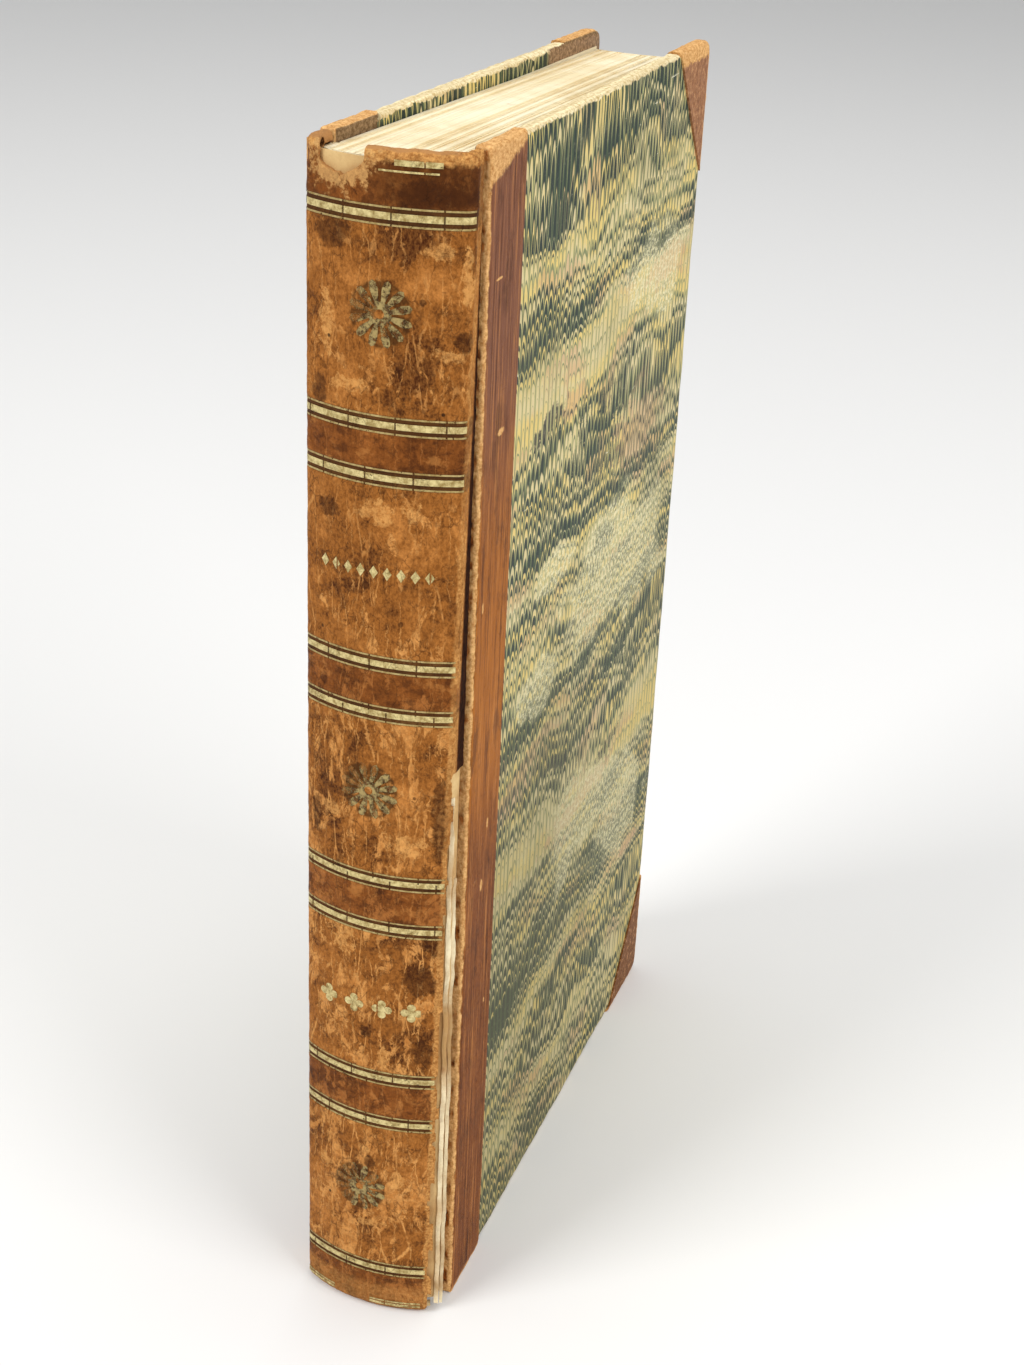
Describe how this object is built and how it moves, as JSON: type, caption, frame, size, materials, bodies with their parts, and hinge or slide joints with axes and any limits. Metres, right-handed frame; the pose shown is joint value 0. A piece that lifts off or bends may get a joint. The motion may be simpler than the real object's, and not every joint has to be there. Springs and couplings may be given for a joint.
{
  "type": "antique leather book",
  "caption": "Old half-leather book with marbled paper sides, standing on its tail; both covers open on their joints.",
  "frame": {"origin": "middle of the foot of the book, on the surface it stands on", "axes": "+Z from tail to head, +X out of the front board, -Y out of the spine and +Y out of the fore-edge"},
  "size_m": [0.0294, 0.1373, 0.228],
  "materials": {
    "pages": "matt, cream with age",
    "lining_paper": "matt, torn and dusty",
    "hemp": "twisted cord",
    "spine_calf": "mottled calf, cracked and rubbed",
    "side_calf": "smooth calf, rubbed to suede at its edges",
    "gilt": "worn gold leaf",
    "endpaper": "matt, plain",
    "pasteboard": "rough",
    "marbled_paper": "combed marbling, rubbed"
  },
  "bodies": {
    "book_block": {"text_block": "pages", "spine_lining": "lining_paper", "sewing_cord_1": "hemp", "sewing_cord_2": "hemp", "sewing_cord_3": "hemp", "sewing_cord_4": "hemp", "head_cap_cord": "hemp", "tail_cap_cord": "hemp", "spine_leather": "spine_calf", "gilt_fillets": "gilt", "gilt_rosettes": "gilt", "gilt_small_tools": "gilt", "front_flyleaf": "endpaper", "back_flyleaf": "endpaper"},
    "front_cover": {"front_board": "pasteboard", "front_cord_slips": "hemp", "front_leather_strip": "side_calf", "front_marbled_side": "marbled_paper", "front_head_corner": "side_calf", "front_tail_corner": "side_calf", "front_pastedown": "endpaper"},
    "back_cover": {"back_board": "pasteboard", "back_cord_slips": "hemp", "back_leather_strip": "side_calf", "back_marbled_side": "marbled_paper", "back_head_corner": "side_calf", "back_tail_corner": "side_calf", "back_pastedown": "endpaper"}
  },
  "joints": [
    {"name": "front_cover_hinge", "type": "hinge", "parent": "book_block", "child": "front_cover", "pos_m": [0.0147, -0.05935, 0.114], "axis": [0, 0, -1], "range_deg": [0, 180]},
    {"name": "back_cover_hinge", "type": "hinge", "parent": "book_block", "child": "back_cover", "pos_m": [-0.0147, -0.05935, 0.114], "axis": [0, 0, 1], "range_deg": [0, 180]}
  ]
}
